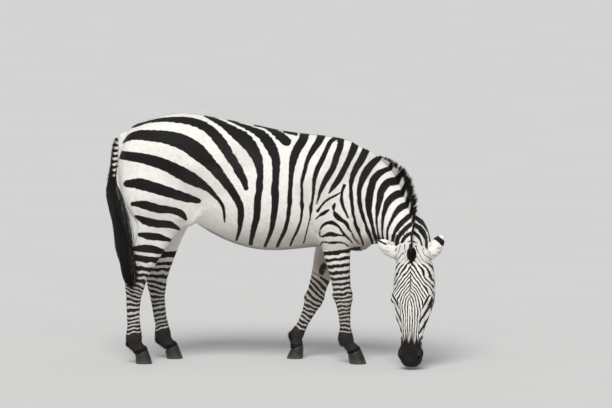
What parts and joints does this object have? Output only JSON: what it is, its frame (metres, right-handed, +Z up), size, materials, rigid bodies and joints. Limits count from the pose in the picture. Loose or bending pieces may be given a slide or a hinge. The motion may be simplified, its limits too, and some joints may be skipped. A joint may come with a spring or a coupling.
{
  "type": "plains zebra, still life-size model",
  "caption": "Life-size still model of an adult plains zebra that stands and grazes, its neck lowered and turned so that the long face looks out to its right side.",
  "frame": {"origin": "on the floor, under the middle of the model's bounding box", "axes": "+X the way the body faces, +Y the zebra's left, +Z up"},
  "size_m": [1.7716, 0.6674, 1.3157],
  "materials": {
    "coat": "short flat hair, pale with brown-black stripes, black on the muzzle and pasterns",
    "mane_hair": "stiff upright hair, banded dark and pale, with black tips",
    "long_hair": "long black hair with a few pale strands",
    "hoof_horn": "dark horn with fine growth lines, half matte",
    "eye": "dark brown, wet and glossy"
  },
  "bodies": {
    "root": {"trunk": "coat", "neck": "coat", "head": "coat", "ear_right": "coat", "ear_left": "coat", "eye_right": "eye", "eye_left": "eye", "mane": "mane_hair", "forelock": "long_hair", "tail_dock": "coat", "tail_switch": "long_hair", "leg_fore_right_upper": "coat", "leg_fore_right_lower": "coat", "hoof_fore_right": "hoof_horn", "leg_fore_left_upper": "coat", "leg_fore_left_lower": "coat", "hoof_fore_left": "hoof_horn", "leg_hind_right_upper": "coat", "leg_hind_right_lower": "coat", "hoof_hind_right": "hoof_horn", "leg_hind_left_upper": "coat", "leg_hind_left_lower": "coat", "hoof_hind_left": "hoof_horn"}
  },
  "joints": []
}
